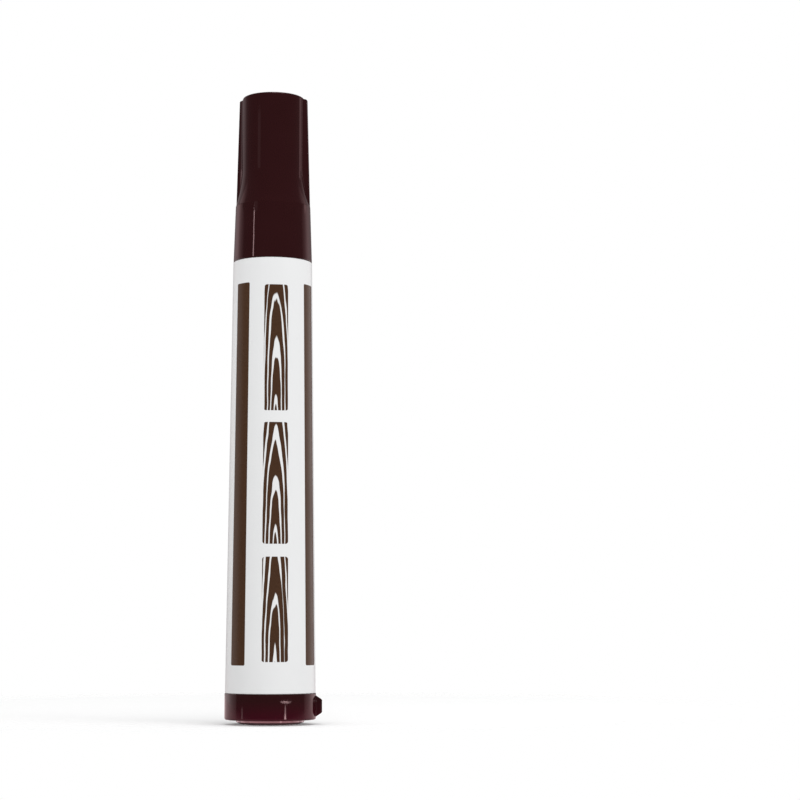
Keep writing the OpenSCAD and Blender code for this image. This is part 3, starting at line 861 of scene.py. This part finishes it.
sharpTurn = 30
for subpart in frame["record"]["subparts"]:
    node = frame["nodes"][subpart["node"]]
    if node.hide_render:
        continue
    node.data.materials.clear()
    node.data.materials.append(finishes[subpart["material_slot"]])
    node.data.shade_smooth()
    node.data.set_sharp_from_angle(angle=math.radians(sharpTurn))
    print("dressed", node.name)


# Camera: below the middle of the pen, looking slightly up, with the pen left of the middle

shot = {
    "focalPixels": 2083, "imagePixels": 800, "sensor": 36, "clipStart": 10, "clipEnd": 20000,
    "away": 452.4, "height": 20.5, "round": 0.7, "pitch": 6.25, "yaw": 3.537, "roll": -0.054,
}


def makeCamera():
    data = bpy.data.cameras.new("shot")
    data.sensor_width = shot["sensor"]
    data.lens = shot["focalPixels"] / shot["imagePixels"] * shot["sensor"]
    data.clip_start = shot["clipStart"] * mm
    data.clip_end = shot["clipEnd"] * mm
    camera = bpy.data.objects.new("shot", data)
    bpy.context.scene.collection.objects.link(camera)
    bpy.context.scene.camera = camera
    turn, yaw, pitch, roll = (math.radians(shot[key]) for key in ("round", "yaw", "pitch", "roll"))
    spot = Vector((shot["away"] * math.sin(turn), -shot["away"] * math.cos(turn), shot["height"]))
    camera.location = spot * mm
    heading = turn - yaw  # turning right brings the heading towards +X
    flat = Vector((-math.sin(heading), math.cos(heading), 0))
    ahead = flat * math.cos(pitch) + Vector((0, 0, math.sin(pitch)))
    right = Vector((math.cos(heading), math.sin(heading), 0))
    over = right.cross(ahead)
    basis = Matrix((right, over, -ahead)).transposed()
    camera.rotation_euler = (basis @ Matrix.Rotation(roll, 3, "Z")).to_euler()
    print("camera lens", round(data.lens, 2))


makeCamera()


# Studio: a pale floor, a white surround that is dim on the camera's side, and soft lamps

def aim(turn, rise, away, base=(0, 0, 0)):
    # a point seen from the base at this angle round from the front and this angle above the horizon
    t, e = math.radians(turn), math.radians(rise)
    ahead = Vector((math.sin(t) * math.cos(e), -math.cos(t) * math.cos(e), math.sin(e)))
    return Vector(base) + ahead * away


surroundSize = {
    "frontTurn": 0.7, "roomLevel": 0.80, "roomSlope": 0.35, "keyTurn": 40, "keyRise": 25,
    # what gloss sees, from the camera's side round to the far side: dim, then bright, then dimmer
    "mirrorSteps": (
        (0.0, 0.09), (0.5, 0.10), (0.64, 0.13), (0.74, 0.18), (0.82, 0.35), (0.92, 0.32), (0.99, 0.24)),
    "mirrorTint": (1, 0.82, 0.83),
}


def makeSurround():
    size = surroundSize
    world = bpy.data.worlds.new("surround")
    bpy.context.scene.world = world
    world.use_nodes = True
    tree = world.node_tree
    tree.nodes.clear()
    spot = tree.nodes.new("ShaderNodeTexCoord")

    def towards(turn, rise):
        node = tree.nodes.new("ShaderNodeVectorMath")
        node.operation = "DOT_PRODUCT"
        node.inputs[1].default_value = aim(turn, rise, 1)
        tree.links.new(spot.outputs["Generated"], node.inputs[0])
        return node.outputs["Value"]

    ramp = tree.nodes.new("ShaderNodeValToRGB")
    stops = ramp.color_ramp.elements
    for k, (position, level) in enumerate(size["mirrorSteps"]):
        stop = stops[k] if k < 2 else stops.new(position)  # a new ramp has two stops
        stop.position = position
        stop.color = (*(level * c for c in size["mirrorTint"]), 1)
    tree.links.new(spread(tree, towards(size["frontTurn"], 0), 1, -1, 0, 1), ramp.inputs["Fac"])
    path = tree.nodes.new("ShaderNodeLightPath")
    gloss = calc(tree, "MAXIMUM", path.outputs["Is Glossy Ray"], path.outputs["Is Transmission Ray"])
    key = calc(tree, "MULTIPLY_ADD", towards(size["keyTurn"], size["keyRise"]), size["roomSlope"], 1.0)
    room = calc(tree, "MULTIPLY", key, size["roomLevel"])
    lit = calc(tree, "MAXIMUM", gloss, path.outputs["Is Camera Ray"])
    glow = tree.nodes.new("ShaderNodeBackground")
    tree.links.new(mixColour(tree, gloss, (1, 1, 1), ramp.outputs["Color"]), glow.inputs["Color"])
    tree.links.new(spread(tree, lit, 0, 1, room, 1), glow.inputs["Strength"])
    out = tree.nodes.new("ShaderNodeOutputWorld")
    tree.links.new(glow.outputs[0], out.inputs["Surface"])


floorSize = {
    "r": 420, "sides": 96, "drop": 0.02, "centre": (0, 95, 0), "fadeStart": 80, "fadeEnd": 140,
    # the floor as it is seen, as gloss sees it and as it lights the pen
    "colour": (0.925, 0.925, 0.925), "mirror": (0.82, 0.61, 0.62), "bounce": (0.70, 0.70, 0.70),
    "grainScale": 60, "grainDetail": 3, "grainShare": 0.04, "roughness": 0.9, "sheen": 0.0,
}


def makeFloor():
    size = floorSize
    mesh = bmesh.new()
    bmesh.ops.create_circle(mesh, cap_ends=True, segments=size["sides"], radius=size["r"] * mm)
    data = bpy.data.meshes.new("floor")
    mesh.to_mesh(data)
    mesh.free()
    floor = bpy.data.objects.new("floor", data)
    bpy.context.scene.collection.objects.link(floor)
    floor.location.z = -size["drop"] * mm
    material, tree, shader = newFinish("pale floor")
    where = place(tree)
    grain = mottle(tree, where, size["grainScale"], size["grainDetail"])
    path = tree.nodes.new("ShaderNodeLightPath")
    tone = mixColour(tree, path.outputs["Is Glossy Ray"], size["colour"], size["mirror"])
    tone = mixColour(tree, path.outputs["Is Diffuse Ray"], tone, size["bounce"])
    paint(tree, shader, mixColour(tree, calc(tree, "MULTIPLY", grain, size["grainShare"]), tone, (1, 1, 1)))
    shader.inputs["Roughness"].default_value = size["roughness"]
    shader.inputs["Specular IOR Level"].default_value = size["sheen"]
    # the floor fades into the white surround away from the pen
    away = tree.nodes.new("ShaderNodeVectorMath")
    away.operation = "DISTANCE"
    away.inputs[1].default_value = Vector(size["centre"]) * mm
    tree.links.new(where, away.inputs[0])
    fade = (size["fadeStart"] * mm, size["fadeEnd"] * mm)
    shown = spread(tree, away.outputs["Value"], *fade, 1, 0, "SMOOTHSTEP")
    clear = tree.nodes.new("ShaderNodeBsdfTransparent")
    mix = tree.nodes.new("ShaderNodeMixShader")
    tree.links.new(shown, mix.inputs[0])
    tree.links.new(clear.outputs[0], mix.inputs[1])
    tree.links.new(shader.outputs[0], mix.inputs[2])
    tree.links.new(mix.outputs[0], tree.nodes["Material Output"].inputs["Surface"])
    data.materials.append(material)


makeSurround()
makeFloor()

rosy = (1, 0.72, 0.73)
lamps = {
    # z is the height that a lamp is aimed at and level its radiance; most lamps are seen by gloss alone
    # beam is how far its light opens: a narrow beam fades towards the lamp's edges
    "overheadSoftbox": {
        "turn": 26, "rise": 66, "away": 800, "wide": 500, "tall": 300, "z": 70, "level": 4.2,
        "lights": "all"},
    "leftFill": {
        "turn": -80, "rise": 12, "away": 170, "wide": 60, "tall": 60, "z": 95, "level": 3.2,
        "beam": 64, "lights": "matt"},
    "leftCard": {
        "turn": -121.3, "away": 250, "wide": 266, "tall": 148, "z": 76, "level": 0.70,
        "tint": (1, 0.97, 0.96)},
    "rightCard": {
        "turn": 122.7, "away": 250, "wide": 200, "tall": 148, "z": 76, "level": 0.78,
        "tint": (1, 0.97, 0.97)},
    "leftSkirtCard": {
        "turn": -126.3, "rise": 12.9, "away": 256, "wide": 289, "tall": 24, "z": 106, "level": 0.60,
        "tint": rosy, "beam": 61},
    "rightSkirtCard": {
        "turn": 122.7, "rise": 12.9, "away": 256, "wide": 233, "tall": 24, "z": 106, "level": 0.50,
        "tint": rosy, "beam": 51},
    "leftFlareCard": {
        "turn": -126.3, "rise": 27, "away": 256, "wide": 200, "tall": 34, "z": 113, "level": 0.38,
        "tint": rosy, "beam": 46},
    "rightFlareCard": {
        "turn": 124.7, "rise": 28, "away": 256, "wide": 200, "tall": 32, "z": 113, "level": 0.32,
        "tint": rosy, "beam": 46},
    "skirtStrip": {"turn": -57.7, "away": 147.3, "wide": 7.2, "tall": 15, "z": 139.8, "level": 6.3},
    "gripGlow": {"turn": -53.5, "away": 258, "wide": 50, "tall": 20, "z": 186.7, "level": 0.20},
    "gripLine": {
        "turn": 115.5, "away": 258, "wide": 34, "tall": 36, "z": 189, "level": 0.62, "tint": rosy},
    "leftRingCard": {
        "turn": -128, "away": 250, "wide": 350, "tall": 16, "z": -6, "level": 0.70,
        "tint": (1, 0.90, 0.90), "beam": 90},
    "rightRingCard": {
        "turn": 128, "away": 250, "wide": 325, "tall": 16, "z": -6, "level": 0.80,
        "tint": rosy, "beam": 90},
    "ringBar": {
        "turn": 38.3, "away": 34.4, "wide": 21, "tall": 0.26, "z": 4.15, "level": 14,
        "beam": 38, "shape": "ELLIPSE"},
    "ringStem": {
        "turn": 33.3, "away": 34.4, "wide": 2.2, "tall": 6.4, "z": 0.3, "level": 4.0, "shape": "ELLIPSE"},
    "ringStemFoot": {
        "turn": 33.3, "away": 34.2, "wide": 2.6, "tall": 3.0, "z": 0.0, "level": 5.4, "shape": "ELLIPSE"},
    "ringLine": {
        "turn": -64.2, "away": 33.3, "wide": 1.8, "tall": 5.6, "z": 0.4, "level": 1.2, "shape": "ELLIPSE"},
}
# strips under the ring's edge, close round the boss, so that the ring's side doesn't mirror them
for glowTurn, glowLevel in ((-90, 1.8), (-60, 4.4), (-30, 6.0), (0, 5.6), (30, 6.0), (60, 4.4), (90, 1.8)):
    lamps["bossGlow%+d" % glowTurn] = {
        "turn": glowTurn, "away": 9.1, "wide": 4.9, "tall": 0.85, "z": 0.57, "level": glowLevel,
        "tint": (1, 0.76, 0.80)}


def makeLamp(name, turn, away, wide, tall, z, level, rise=0, tint=(1, 1, 1), beam=180,
             shape="RECTANGLE", lights="gloss"):
    data = bpy.data.lights.new(name, "AREA")
    data.shape = shape
    data.size = wide * mm
    data.size_y = tall * mm
    data.color = tint
    data.spread = math.radians(beam)
    area = wide * tall * mm * mm * (math.pi / 4 if shape == "ELLIPSE" else 1)
    half = math.radians(beam) / 2
    data.energy = level * area * math.pi * (1 if beam == 180 else 1 - half / math.tan(half))
    lamp = bpy.data.objects.new(name, data)
    bpy.context.scene.collection.objects.link(lamp)
    centre = Vector((0, 0, z * mm))
    lamp.location = aim(turn, rise, away * mm, centre)
    lamp.rotation_euler = (lamp.location - centre).to_track_quat("Z", "Y").to_euler()
    lamp.visible_camera = False
    lamp.visible_diffuse = lights != "gloss"
    lamp.visible_glossy = lights != "matt"


for lampName, lampSize in lamps.items():
    makeLamp(lampName, **lampSize)
bpy.context.scene.view_settings.view_transform = "Standard"
print("studio ready:", len(lamps), "lamps")
